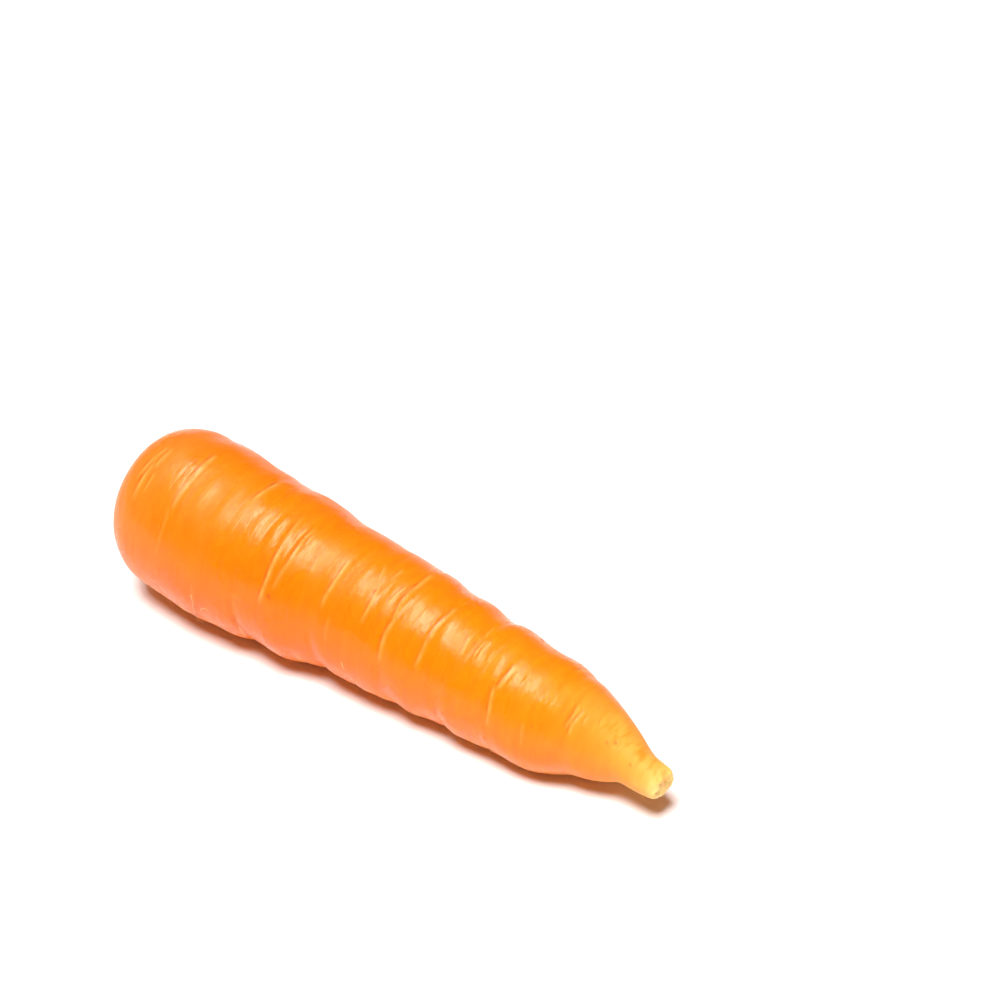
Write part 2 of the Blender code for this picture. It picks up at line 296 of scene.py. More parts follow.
def body_outline():
    """Stations and radii from the shoulder down the body to the middle of the tip's face."""
    body_end = ROOT_LENGTH - TIP_EDGE
    stations = np.linspace(SHOULDER_STATION, body_end, BODY_POINTS)[1:]
    radii = smooth_between(BODY_RADII, stations)
    turn = np.radians(np.linspace(0, TIP_EDGE_TURN, EDGE_POINTS))[1:]
    edge_stations = body_end + TIP_EDGE * np.sin(turn)
    edge_radii = radii[-1] - TIP_EDGE * (1 - np.cos(turn))
    face_radii = np.linspace(edge_radii[-1], LAST_RADIUS, FACE_POINTS)[1:]
    face_stations = np.full_like(face_radii, edge_stations[-1])
    body = np.stack([stations, radii], axis=1)
    edge = np.stack([edge_stations, edge_radii], axis=1)
    return np.concatenate([body, edge, np.stack([face_stations, face_radii], axis=1)])


print("the rest of the outline has", len(body_outline()), "points")

# %% The outline in equal steps
ROWS = 716
SIDES = 136


def walk(outline, rows):
    """The outline again, as points an equal step apart."""
    steps = np.hypot(*np.diff(outline, axis=0).T)
    distance = np.concatenate([[0], np.cumsum(steps)])
    at = np.linspace(0, distance[-1], rows)
    return np.interp(at, distance, outline[:, 0]), np.interp(at, distance, outline[:, 1])


row_stations, row_radii = walk(np.concatenate([crown_outline(), body_outline()]), ROWS)
print(ROWS, "rows of", SIDES, "points make", 2 * ROWS * SIDES, "triangles")

# %% [markdown]
# ## Pale lines across the root
#
# The fine pale lines on a carrot are where side roots came out, and where the skin stretched.
# Each is a low ridge, with a groove on its crown side. The long ones are placed one by one,
# because an eye that knows this carrot would miss them. The hidden side follows the same habit
# with seeded draws. A record is: station, first and last angle, how far the line slants towards
# the tip on its way, its width, and its strength from 0 to 1.

# %% The lines that are placed one by one
PALE_LINES = (
    (8.6, 104, 128, -1.4, 0.5, 0.9), (10.2, 112, 141, -0.5, 0.52, 1.0),
    (11.5, 98, 117, 0.0, 0.42, 0.7), (9.6, 97, 112, -0.8, 0.34, 0.7),
    (12.6, 118, 134, -0.2, 0.3, 0.5), (22.2, 84, 107, 0.1, 0.55, 1.0),
    (22.4, 96, 134, 0.3, 0.4, 0.7), (21.9, 132, 172, 0.0, 0.3, 0.3),
    (28.7, 108, 124, 0.2, 0.4, 0.35), (35.6, 40, 64, 3.2, 0.3, 0.5),
    (39.4, 66, 100, 0.5, 0.5, 1.0), (56.2, 97, 111, 0.1, 0.26, 0.6),
    (58.7, 98, 113, 0.1, 0.26, 0.6), (59.8, 101, 113, 0.1, 0.24, 0.5),
    (53.5, 92, 121, 0.3, 0.3, 0.6), (54.2, 118, 166, -0.3, 0.42, 1.0),
    (57.6, 94, 136, -0.2, 0.34, 0.8), (57.2, 132, 150, -0.3, 0.3, 0.6),
    (70.5, 100, 146, -0.2, 0.42, 0.8), (73.4, 150, 172, 0.3, 0.3, 0.3),
    (79.2, 90, 104, 1.2, 0.3, 0.55), (81.8, 112, 142, 0.3, 0.36, 0.7),
    (82.4, 84, 100, 0.2, 0.3, 0.6), (86.4, 96, 118, -0.6, 0.36, 0.75),
    (87.9, 92, 108, 0.0, 0.28, 0.55), (85.2, 36, 70, 2.9, 0.3, 0.6),
    (88.6, 68, 128, 0.6, 0.4, 0.9), (89.1, 124, 166, 0.0, 0.36, 0.8),
    (99.8, 88, 128, -0.2, 0.42, 0.95), (99.3, 126, 156, 0.0, 0.34, 0.7),
    (108.6, 104, 124, 0.3, 0.32, 0.7), (111.9, 100, 120, 0.4, 0.34, 0.9),
    (113.2, 99, 124, 0.4, 0.32, 0.8), (110.9, 80, 98, 0.4, 0.26, 0.45),
    (115.6, 104, 118, 0.2, 0.26, 0.45), (121.8, 104, 134, -0.5, 0.4, 0.95),
    (121.2, 132, 174, 0.9, 0.34, 0.75), (123.6, 112, 128, 0.2, 0.28, 0.5),
    (140.2, 104, 136, 0.2, 0.36, 0.8), (141.4, 104, 146, -0.4, 0.3, 0.7),
    (143.4, 108, 124, 0.2, 0.26, 0.5), (146.3, 96, 110, 0.2, 0.26, 0.45),
    (33.8, 176, 194, -0.2, 0.3, 0.5), (46.5, 168, 200, 0.2, 0.3, 0.4),
    (131.0, 150, 176, 0.3, 0.28, 0.35), (63.5, 112, 128, 0.2, 0.28, 0.35),
    (95.2, 108, 120, 0.1, 0.26, 0.35),
)
print(len(PALE_LINES), "lines placed by eye")

# %% The lines that are drawn
HIDDEN_LINE_SEED = 21
HIDDEN_LINE_COUNT = 46
HIDDEN_START = 7
HIDDEN_LENGTH = ROOT_LENGTH - 22
HIDDEN_ANGLES = (196, 392)
HIDDEN_ARCS = (12, 48)
HIDDEN_SLANTS = (-0.8, 0.8)
HIDDEN_WIDTHS = (0.28, 0.44)
HIDDEN_STRENGTHS = (0.4, 1.0)


def hidden_lines():
    """Lines for the sides that no long line above reaches, drawn to the same habit."""
    draw = random.Random(HIDDEN_LINE_SEED)
    lines = []
    for i in range(HIDDEN_LINE_COUNT):
        station = HIDDEN_START + HIDDEN_LENGTH * (i + draw.random()) / HIDDEN_LINE_COUNT
        start = draw.uniform(*HIDDEN_ANGLES)
        end = start + draw.uniform(*HIDDEN_ARCS)
        slant = draw.uniform(*HIDDEN_SLANTS)
        width = draw.uniform(*HIDDEN_WIDTHS)
        lines.append((station, start, end, slant, width, draw.uniform(*HIDDEN_STRENGTHS)))
    return lines


ALL_LINES = (*PALE_LINES, *hidden_lines())
print(HIDDEN_LINE_COUNT, "lines drawn for the hidden sides")

# %% Ridge and groove of the pale lines
LINE_SPREAD = 1.45
LINE_WANDER = 0.18
WANDER_WAVES = 9
LINE_BREAKS = 0.2
BREAK_WAVES = 23
BREAK_SHIFT = 5
END_SOFTNESS = 1.15
GROOVE_OFFSET = 0.6
GROOVE_WIDTH = 0.8


def window(angle, start, end):
    """1 between the two angles, fading to 0 at both ends."""
    middle, half_arc = (start + end) / 2, (end - start) / 2
    reach = np.abs(angle_apart(angle, middle)) / half_arc
    return np.clip(END_SOFTNESS - reach**3, 0, 1)


def line_fields(x, angle):
    """How strongly each point lies on a pale ridge, and how strongly in its groove."""
    ridge = np.zeros_like(x)
    groove = np.zeros_like(x)
    for station, start, end, slant, width, strength in ALL_LINES:
        share = angle_apart(angle, (start + end) / 2) / (end - start)
        wander = LINE_WANDER * np.sin(np.radians(angle * WANDER_WAVES) + station)
        off = x - station - slant * share - wander
        breaks = LINE_BREAKS * np.sin(np.radians(angle * BREAK_WAVES) + BREAK_SHIFT * station)
        near = window(angle, start, end) * strength * (1 - LINE_BREAKS + breaks)
        ridge = np.maximum(ridge, near * np.exp(-((off / (LINE_SPREAD * width)) ** 2)))
        in_groove = (off + GROOVE_OFFSET) / (GROOVE_WIDTH * width)
        groove = np.maximum(groove, near * np.exp(-(in_groove**2)))
    return ridge, groove


print("each groove lies", GROOVE_OFFSET, "mm nearer to the crown than its ridge")

# %% [markdown]
# ## The finest wrinkles
#
# Between the lines the skin is never smooth: thousands of short faint wrinkles cross it. They
# break the gloss into small sparkles, which is what makes a washed carrot look fresh. They are
# drawn from a seed, so the carrot is the same each time the script runs. In a few places they
# stand closer, and the places are listed as station and angle.

# %% Faint wrinkles
WRINKLE_SEED = 33
WRINKLE_COUNT = 2600
WRINKLE_STATIONS = (4, ROOT_LENGTH - 2)
WRINKLE_WIDTHS = (0.3, 0.7)
WRINKLE_ARCS = (3, 13)
WRINKLE_HEIGHTS = (-0.03, 0.02)
WRINKLE_CLUSTERS = (
    (11, 116), (22, 106), (53, 110), (56, 112), (83, 106), (86, 110), (112, 109), (114, 112),
    (141, 112), (144, 118), (151, 118), (58, 300), (96, 320), (30, 20),
)
CLUSTER_WRINKLES = 16
CLUSTER_REACH = (2.0, 5.5)
CLUSTER_WIDTHS = (0.28, 0.42)
CLUSTER_ARCS = (3, 8)
CLUSTER_HEIGHTS = (-0.06, 0.02)


def draw_wrinkles():
    """(station, angle, half width, half arc, height) of every faint wrinkle."""
    draw = random.Random(WRINKLE_SEED)
    wrinkles = []
    for _ in range(WRINKLE_COUNT):
        station = draw.uniform(*WRINKLE_STATIONS)
        width = draw.uniform(*WRINKLE_WIDTHS)
        arc = draw.uniform(*WRINKLE_ARCS)
        angle = draw.uniform(0, 360)
        wrinkles.append((station, angle, width, arc, draw.uniform(*WRINKLE_HEIGHTS)))
    for middle_station, middle_angle in WRINKLE_CLUSTERS:
        for _ in range(CLUSTER_WRINKLES):
            station = middle_station + draw.gauss(0, CLUSTER_REACH[0])
            angle = middle_angle + draw.gauss(0, CLUSTER_REACH[1])
            width = draw.uniform(*CLUSTER_WIDTHS)
            arc = draw.uniform(*CLUSTER_ARCS)
            wrinkles.append((station, angle, width, arc, draw.uniform(*CLUSTER_HEIGHTS)))
    return wrinkles


print(len(draw_wrinkles()), "wrinkles")

# %% Relief of the wrinkles
WRINKLE_END = 3


def wrinkle_relief(x, angle):
    """Each wrinkle only touches the rows near it, so the sum stays quick."""
    relief = np.zeros_like(x)
    for station, middle, width, arc, height in draw_wrinkles():
        rows = np.abs(x[:, 0] - station) < WRINKLE_END * width
        relief[rows] += height * soft_spot(x[rows], angle[rows], station, middle, width, arc)
    return relief


print("the widest wrinkle reaches", round(WRINKLE_END * WRINKLE_WIDTHS[1], 1), "mm to each side")

# %% Small brown pits
PIT_SEED = 5
PIT_COUNT = 70
PIT_STATIONS = (6, ROOT_LENGTH - 4)
PIT_RADII = (0.12, 0.3)
PIT_STRENGTHS = (0.2, 0.7)
PITS_BY_EYE = (
    (56.3, 156, 0.6, 0.7), (78.7, 104, 0.35, 0.6), (80.9, 114, 0.35, 0.6), (151.3, 117, 0.4, 0.8),
    (149.5, 126, 0.35, 0.7), (61.5, 150, 0.3, 0.4), (110.2, 108, 0.3, 0.5), (114.0, 112, 0.3, 0.5),
)
PIT_END = 4


def draw_pits():
    """(station, angle, radius, strength) of every small brown pit."""
    draw = random.Random(PIT_SEED)
    pits = []
    for _ in range(PIT_COUNT):
        station, angle = draw.uniform(*PIT_STATIONS), draw.uniform(0, 360)
        pits.append((station, angle, draw.uniform(*PIT_RADII), draw.uniform(*PIT_STRENGTHS)))
    return (*PITS_BY_EYE, *pits)


def pit_field(x, angle, radius):
    pits = np.zeros_like(x)
    for station, middle, size, strength in draw_pits():
        rows = np.abs(x[:, 0] - station) < PIT_END * size
        off = x[rows] - station
        around = np.radians(angle_apart(angle[rows], middle)) * radius[rows]
        dot = strength * np.exp(-(off**2 + around**2) / size**2)
        pits[rows] = np.maximum(pits[rows], dot)
    return pits


print(len(draw_pits()), "pits")

# %% [markdown]
# ## Dry patches and the painted lighter top
#
# Where the skin has dried it scatters the light, so the gloss breaks up into patches. The side
# that is on top here is painted lighter and yellower, which is painted light where the light
# falls, and near the thin end this painted lighter top turns yellow, with specks of olive in it.
# Both are soft fields for the material, made in the same way as the relief. A dry patch's record
# is: station, angle, half its length, half its arc, and how dry it is.

# %% Fields of dryness and of painted light on top
DRY_PATCHES = (
    (14.0, 108, 3.2, 40, 0.8), (26.0, 110, 2.6, 40, 1.0), (32.6, 112, 2.8, 40, 1.0),
    (73.6, 112, 1.8, 34, 0.7), (110.2, 108, 1.2, 30, 0.5), (116.3, 108, 1.3, 30, 0.6),
    (60, 300, 14, 40, 0.7), (120, 350, 12, 45, 0.6),
)
# Painted light on top: its angle, its half arc, and where it fades in along the root.
LIT_TOP_ANGLE = 94
LIT_TOP_HALF_ARC = 36
LIT_TOP_START = (12, 26)


def dry_field(x, angle):
    dry = np.zeros_like(x)
    for *spot, amount in DRY_PATCHES:
        dry = np.maximum(dry, amount * soft_spot(x, angle, *spot))
    return dry


# Painted light: a lighter, yellower band along the top of the root, where the light falls.
def sun_field(x, angle):
    along = np.clip((x - LIT_TOP_START[0]) / (LIT_TOP_START[1] - LIT_TOP_START[0]), 0, 1)
    return along * np.exp(-((angle_apart(angle, LIT_TOP_ANGLE) / LIT_TOP_HALF_ARC) ** 2))


print(len(DRY_PATCHES), "dry patches")

# %% [markdown]
# ## The snapped tip
#
# The thin end of the root has broken off. A break across fibres is never a clean disc: its edge
# is nicked, and its face is full of small humps. Waves with many lobes, fading in over the last
# two millimetres, give both. They only take material away, so the tip stays inside the solid.

# %% Nicks and humps of the broken face
NICK_SEED = 9
NICK_LOBES = (3, 5, 8, 13)
NICK_DEPTH = 0.35
NICK_SHARES = (0.5, 0.4)
FACE_DEPTH = 0.4
FACE_SHARES = (0.4, 0.3, 0.3)
HUMP_WAVES = (1.2, 3)
ANY_TURN = (0, 6)
BREAK_START = 2.2
BREAK_FADE = 1.6
CALM_RADIUS = 2.4
TILT_TURN = 0.7


def broken_tip(x, radius, angle):
    """How far the edge of the tip is nicked, and how far its face dips, in millimetres."""
    draw = random.Random(NICK_SEED)
    turn = np.radians(angle)
    nicks = np.zeros_like(x)
    humps = np.zeros_like(x)
    for lobes in NICK_LOBES:
        nicks += np.sin(lobes * turn + draw.uniform(*ANY_TURN)) / lobes**0.5
        around = np.sin(lobes * turn + draw.uniform(*ANY_TURN))
        humps += around * np.sin(radius * draw.uniform(*HUMP_WAVES) + draw.uniform(*ANY_TURN))
    near = np.clip((x - ROOT_LENGTH + BREAK_START) / BREAK_FADE, 0, 1)
    from_centre = np.clip(radius / CALM_RADIUS, 0, 1)
    nick_depth = NICK_DEPTH * near * np.clip(NICK_SHARES[0] + NICK_SHARES[1] * nicks, 0, 1)
    tilt = np.sin(turn + TILT_TURN) * radius / TIP_RADIUS
    level, tilting, lumpy = FACE_SHARES
    dips = level + tilting * tilt + lumpy * humps * from_centre
    return nick_depth * from_centre, FACE_DEPTH * near * np.clip(dips, 0, 1)


print("nicks up to", NICK_DEPTH, "mm and dips up to", FACE_DEPTH, "mm")

# %% [markdown]
# ## The crown's folds
#
# Leaves grew out of the crown, and each left a scar that hugs the heart. Their edges make low
# rings, and the dry skin between them shrinks into folds that run outwards. Both are pressed
# into the hollow, so nothing stands out over the solid's surface.

# %% Folds and leaf scars round the hollow
FOLD_SEED = 14
FOLD_DEPTH = 0.42
FOLD_REACH = 15.5
FOLD_FADE = 7
FOLD_LOBES = (5, 7, 11, 13, 17, 19)
FOLD_TWISTS = (-0.2, 0.2)
FOLD_BEND = 0.5
BEND_WAVES = (0.5, 0.9)
FOLD_EVENING = 3.2
FOLD_SHARES = (0.45, 0.5, 0.35)
SCAR_STEP = 1.9
SCAR_WANDER = (2.2, 1.5)
HEART_FADE = 2


def leaf_scars(radius, turn):
    """Low rings, a scar's width apart, that wander and come and go on their way round."""
    lumps = np.sin(3 * turn + 0.8 * radius) * np.sin(7 * turn - 0.5 * radius + 2)
    wander = SCAR_WANDER[0] * np.sin(3 * turn) + SCAR_WANDER[1] * np.sin(8 * turn + 1)
    return np.sin(math.tau * radius / SCAR_STEP + wander) * lumps


def crown_folds(x, radius, angle):
    """How far the skin is pressed in along the root's length, in millimetres."""
    draw = random.Random(FOLD_SEED)
    turn = np.radians(angle)
    folds = np.zeros_like(x)
    for lobes in FOLD_LOBES:
        twist = draw.uniform(*FOLD_TWISTS)
        bend = FOLD_BEND * np.sin(radius * draw.uniform(*BEND_WAVES) + draw.uniform(*ANY_TURN))
        outwards = np.sin(lobes * turn + twist * radius + bend + draw.uniform(*ANY_TURN))
        folds += outwards / FOLD_EVENING
    near = np.clip((FOLD_REACH - radius) / FOLD_FADE, 0, 1) * (x < SHOULDER_STATION / 2)
    level, folded, scarred = FOLD_SHARES
    pressed = np.clip(level + folded * folds + scarred * leaf_scars(radius, turn), 0, 1)
    return FOLD_DEPTH * near * pressed * np.clip(radius / HEART_FADE, 0, 1)


print("folds reach", FOLD_REACH, "mm out from the heart")

# %% [markdown]
# ## Making the skin
#
# The whole skin is one grid, wrapped round the root and closed with a small cap at each end.
# Writing its points with arrays takes a second, where adding them one by one would take a
# minute. What the material needs to know, such as where the pale lines are, is stored on the
# points as attributes.


# %% From station, radius and angle to a place
def place_on_root(x, radius, angle):
    """Stations, radii and angles turned into points in millimetres, on the table."""
    turn = np.radians(angle)
    side = smooth_between(SIDE_BEND, x)
    height = CROWN_HEIGHT + (TIP_HEIGHT - CROWN_HEIGHT) * x / ROOT_LENGTH
    lean = TIP_LEAN * radius * np.cos(turn - math.radians(TIP_LEAN_ANGLE))
    lean = lean * np.clip((x - ROOT_LENGTH + TIP_LEAN_LENGTH) / TIP_LEAN_LENGTH, 0, 1)
    y = side + radius * np.cos(turn)
    z = np.maximum(height + radius * np.sin(turn), 0)
    return np.stack([x + lean, y, z], axis=-1) - MIDDLE


shoulder_top = place_on_root(SHOULDER_STATION, SHOULDER_RADIUS, 90)
print("the top of the shoulder is", round(shoulder_top[2], 1), "mm above the table")

# %% Points of the fine skin
SKIN_INSET = 0.07
LINE_HEIGHT = 0.045
LINE_GROOVE = 0.09
PIT_DEPTH = 0.14
RIM_BLEND = 2
CROWN_END = 12

grid_angles = np.arange(SIDES) * 360 / SIDES
x = np.repeat(row_stations[:, None], SIDES, axis=1)
plain_radius = np.repeat(row_radii[:, None], SIDES, axis=1)
angle = np.repeat(grid_angles[None, :], ROWS, axis=0)
off_rim = np.clip((plain_radius - RIM_RADIUS) / RIM_BLEND, 0, 1)
outside = off_rim * (x < CROWN_END) + (x >= CROWN_END)
ridge, groove = line_fields(x, angle)
ridge, groove = ridge * outside, groove * outside
pits = pit_field(x, angle, plain_radius) * outside
fine = LINE_HEIGHT * ridge - SKIN_INSET - LINE_GROOVE * groove - PIT_DEPTH * pits
fine += wrinkle_relief(x, angle) * outside
notches, face_dip = broken_tip(x, plain_radius, angle)
skin_relief = broad_relief(x, angle) + np.minimum(fine, 0) * outside - notches
folds = crown_folds(x, plain_radius, angle)
skin_points = place_on_root(x - face_dip + folds, plain_radius + skin_relief, angle)
print("fine relief from", round(fine.min(), 2), "to", round(fine.max(), 2), "mm")


# %% A closed mesh from a grid of points
def add_to_scene(name, data):
    obj = bpy.data.objects.new(name, data)
    bpy.context.scene.collection.objects.link(obj)
    return obj


def closed_tube(name, points):
    """A mesh of a grid of rings, closed with one point at each end.

    Its faces look out where the rings go on towards +X and turn from +Y over the top.
    """
    rings, sides = points.shape[:2]
    ends = np.array([points[0].mean(axis=0), points[-1].mean(axis=0)])
    coordinates = np.concatenate([points.reshape(-1, 3), ends]) * MM
    ring = np.arange(rings - 1)[:, None] * sides
    here = np.arange(sides)[None, :]
    there = (here + 1) % sides
    corners = [ring + here, ring + there, ring + sides + there, ring + sides + here]
    quads = np.stack(corners, axis=-1).reshape(-1, 4).tolist()
    first_cap = [(rings * sides, (i + 1) % sides, i) for i in range(sides)]
    last = (rings - 1) * sides
    last_cap = [(rings * sides + 1, last + i, last + (i + 1) % sides) for i in range(sides)]
    mesh = bpy.data.meshes.new(name)
    mesh.from_pydata(coordinates.tolist(), [], quads + first_cap + last_cap)
    mesh.shade_smooth()
    return add_to_scene(name, mesh)


def store(obj, name, grid):
    """Keep one number for each point, for the material to read. Each cap gets its ring's mean."""
    values = np.concatenate([grid.ravel(), [grid[0].mean(), grid[-1].mean()]])
    attribute = obj.data.attributes.new(name, "FLOAT", "POINT")
    attribute.data.foreach_set("value", values.astype(np.float32))


skin = closed_tube("carrot_skin_fine", skin_points)
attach(skin, "root")
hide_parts("taproot")
print("skin:", len(skin.data.polygons), "faces")

# %% What the skin's material can read
CROWN_BLEND = 9

in_crown = np.clip(1 - (plain_radius - HOLLOW_FLOOR_RADIUS) / CROWN_BLEND, 0, 1)
# The top field lightens the colour as painted light; groove and fold darken it as painted shade.
for name, grid in {
    "pale": ridge, "groove": groove, "pit": pits, "dry": dry_field(x, angle),
    "sun": sun_field(x, angle), "fold": folds / FOLD_DEPTH, "station": x / ROOT_LENGTH,
    "crown": in_crown * (x < SHOULDER_STATION),
}.items():
    store(skin, name, grid)
print("pits colour", round(100 * float((pits > 0.5).mean()), 2), "per cent of the points")

# %% [markdown]
# ## Helpers for materials
#
# A node material is easier to read when each step is one line of code. The helpers below add a
# node, join it to what it reads, and return the socket that the next step needs. The room's
# light is built with them too.


# %% Node helpers
class Nodes:
    """The nodes of a material or of the room, built one line at a time."""

    def __init__(self, owner, shader="Principled BSDF"):
        owner.use_nodes = True
        self.owner = owner
        self.tree = owner.node_tree
        self.shader = self.tree.nodes[shader]

    def feed(self, node, inputs):
        """Set the inputs to numbers, or join them to what other nodes give."""
        for key, value in inputs.items():
            if isinstance(value, bpy.types.NodeSocket):
                self.tree.links.new(value, node.inputs[key])
            else:
                node.inputs[key].default_value = value

    def add(self, kind, inputs, output=0, **settings):
        node = self.tree.nodes.new(kind)
        for key, value in settings.items():
            setattr(node, key, value)
        self.feed(node, inputs)
        return node.outputs[output]

    def attribute(self, name):
        return self.add("ShaderNodeAttribute", {}, "Fac", attribute_name=name)

    def times(self, first, second):
        return self.add("ShaderNodeMath", {0: first, 1: second}, operation="MULTIPLY")

    def plus(self, first, second):
        return self.add("ShaderNodeMath", {0: first, 1: second}, operation="ADD")

    def noise(self, scale, detail, stretch=(1, 1, 1)):
        place = self.add("ShaderNodeTexCoord", {}, "Object")
        mapped = self.add("ShaderNodeMapping", {"Vector": place, "Scale": stretch})
        inputs = {"Vector": mapped, "Scale": scale, "Detail": detail}
        return self.add("ShaderNodeTexNoise", inputs, "Fac")

    def mix(self, amount, first, second):
        inputs = {"Factor": amount, 6: first, 7: second}
        return self.add("ShaderNodeMix", inputs, 2, data_type="RGBA")

    def span(self, value, low, high, to_low=0.0, to_high=1.0):
        limits = {"From Min": low, "From Max": high, "To Min": to_low, "To Max": to_high}
        return self.add("ShaderNodeMapRange", {"Value": value, **limits})

    def bump(self, height, strength, distance):
        inputs = {"Height": height, "Strength": strength, "Distance": distance}
        return self.add("ShaderNodeBump", inputs)

    def ramp(self, value, stops):
        node = self.tree.nodes.new("ShaderNodeValToRGB")
        elements = node.color_ramp.elements
        while len(elements) < len(stops):
            elements.new(0.5)
        for element, (place, colour) in zip(elements, stops):
            element.position = place
            element.color = colour
        self.feed(node, {0: value})
        return node.outputs[0]

    def shade(self, **inputs):
        self.feed(self.shader, {key.replace("_", " "): value for key, value in inputs.items()})
        return self.owner


def rgb(red, green, blue):
    return (red, green, blue, 1.0)


print("helpers:", ", ".join(name for name in vars(Nodes) if not name.startswith("_")))

# %% [markdown]
# ## The skin's colour
#
# Carrot skin is thin and damp over flesh that lets light in. Three things make it look right:
# colour that is never even, light that travels a little way under the surface, and a gloss that
# dries to dull in places. The colour comes first. The orange turns yellow towards the tip, where
# the root was youngest, and the snapped face is paler still: partly its own colour, partly painted
# light. Long thin noise that runs round the root gives the faint streaks between the lines.

# %% Colours of the skin
SKIN_FROM_CROWN_TO_TIP = (
    (0.00, rgb(0.74, 0.225, 0.032)), (0.07, rgb(0.74, 0.195, 0.016)),
    (0.14, rgb(0.74, 0.166, 0.003)), (0.35, rgb(0.75, 0.166, 0.001)),
    (0.62, rgb(0.76, 0.190, 0.001)), (0.82, rgb(0.77, 0.230, 0.003)),
    (0.88, rgb(0.77, 0.255, 0.016)), (0.94, rgb(0.79, 0.410, 0.065)),
    # The snapped face is paler: the tip's own lemon colour, and painted light lifting it out of
    # shade.
    (0.98, rgb(0.80, 0.550, 0.130)), (1.00, rgb(0.90, 0.780, 0.280)),
)
# Painted light: the top of the root is mixed towards these lighter, yellower colours.
PAINTED_LIGHT_ORANGE = rgb(0.78, 0.310, 0.001)
PAINTED_LIGHT_TIP = rgb(0.80, 0.540, 0.110)
OLIVE = rgb(0.50, 0.27, 0.012)
WARM_PATCH = rgb(0.78, 0.210, 0.001)
RED_STREAK = rgb(0.68, 0.105, 0.001)
PALE_LINE = rgb(0.86, 0.43, 0.10)
# Painted shade that darkens the groove beside each pale line.
GROOVE_PAINTED_SHADE = rgb(0.44, 0.075, 0.002)
PIT_BROWN = rgb(0.30, 0.07, 0.012)
LIT_TOP_SHARE = 0.3
TIP_LIT_TOP_SHARE = 0.5
TIP_LIT_TOP_STATIONS = (0.81, 0.91)
OLIVE_SHARE = 0.8
PATCH_SHARE = 0.45
STREAK_SHARE = 0.28
TIP_STREAK_SHARE = 0.10
PALE_SHARE = 0.72
GROOVE_SHADE_SHARE = 0.85


def skin_colour(n, station):
    """The skin from the crown's rim to the tip, with its streaks and lines, painted shade in the
    grooves and a painted lighter top.
    """
    sun = n.attribute("sun")
    along_root = n.ramp(station, SKIN_FROM_CROWN_TO_TIP)
    # Painted light: the top is lightened where the light falls, and yellower still near the tip.
    sunned = n.mix(n.times(sun, LIT_TOP_SHARE), along_root, PAINTED_LIGHT_ORANGE)
    tip_sun = n.times(sun, n.span(station, *TIP_LIT_TOP_STATIONS))
    tipped = n.mix(n.times(tip_sun, TIP_LIT_TOP_SHARE), sunned, PAINTED_LIGHT_TIP)
    olive_noise = n.noise(800, 3, stretch=(1, 0.3, 0.3))
    olive = n.times(tip_sun, n.span(olive_noise, 0.50, 0.66, 0, OLIVE_SHARE))
    aged = n.mix(olive, tipped, OLIVE)
    patches = n.span(n.noise(45, 3), 0.3, 0.7)
    patched = n.mix(n.times(patches, PATCH_SHARE), aged, WARM_PATCH)
    streaks = n.span(n.noise(900, 4, stretch=(1, 0.12, 0.12)), 0.35, 0.7)
    streak_share = n.span(station, 0.82, 0.93, STREAK_SHARE, TIP_STREAK_SHARE)
    streaked = n.mix(n.times(streaks, streak_share), patched, RED_STREAK)
    lined = n.mix(n.times(n.attribute("pale"), PALE_SHARE), streaked, PALE_LINE)
    # Painted shade: the groove beside each pale line is darkened.
    return n.mix(n.times(n.attribute("groove"), GROOVE_SHADE_SHARE), lined, GROOVE_PAINTED_SHADE)


print("the skin's orange changes over", len(SKIN_FROM_CROWN_TO_TIP), "steps")

# %% Colours of the crown
DUST = rgb(0.46, 0.24, 0.035)
SOIL = rgb(0.24, 0.15, 0.035)
# Painted shade: the crown's folds are darkened towards this brown.
FOLD_PAINTED_SHADE = rgb(0.13, 0.06, 0.015)
FOLD_SHADE_SHARE = 0.7
CROWN_TINT = 0.8


def crown_colour(n):
    """Dust and soil that washing left in the hollow, with painted shade darkening the folds."""
    dusty = n.mix(n.span(n.noise(330, 4), 0.40, 0.62), DUST, SOIL)
    return n.mix(n.times(n.attribute("fold"), FOLD_SHADE_SHARE), dusty, FOLD_PAINTED_SHADE)


print("the crown takes", CROWN_TINT, "of its colour from dust and soil")

# %% [markdown]
# ## The skin's gloss and grain
#
# Damp skin is glossy, but not evenly. Two noises of different size make it a little rougher here
# and there, and the crown, the tip and the dry patches are rougher still. A separate clear coat
# was left out, because one gloss with the right roughness already looks damp. The fine grain is
# far smaller than the mesh's faces, so it is bump.

# %% Gloss and grain of the skin
SMOOTH_TO_ROUGH = (0.23, 0.29)
DAMP_PATCH_ROUGHNESS = 0.14
DRY_ROUGHNESS = 0.24
DULL_TIP_STATIONS = (0.8, 0.95)
GRAIN_HEIGHT = 0.00016


def skin_roughness(n, station):
    fine = n.span(n.noise(260, 4, stretch=(1, 0.35, 0.35)), 0.3, 0.7, *SMOOTH_TO_ROUGH)
    damp = n.plus(fine, n.span(n.noise(95, 2), 0.42, 0.68, 0, DAMP_PATCH_ROUGHNESS))
    dry_ends = n.plus(n.attribute("crown"), n.span(station, *DULL_TIP_STATIONS))
    return n.plus(damp, n.times(n.plus(dry_ends, n.attribute("dry")), DRY_ROUGHNESS))


def skin_grain(n):
    fine_streaks = n.times(n.noise(1500, 3, stretch=(1, 0.2, 0.2)), 0.35)
    grain = n.plus(fine_streaks, n.noise(420, 3, stretch=(1, 0.7, 0.7)))
    return n.bump(grain, 1.0, GRAIN_HEIGHT)


print("roughness from", SMOOTH_TO_ROUGH[0], "where damp")

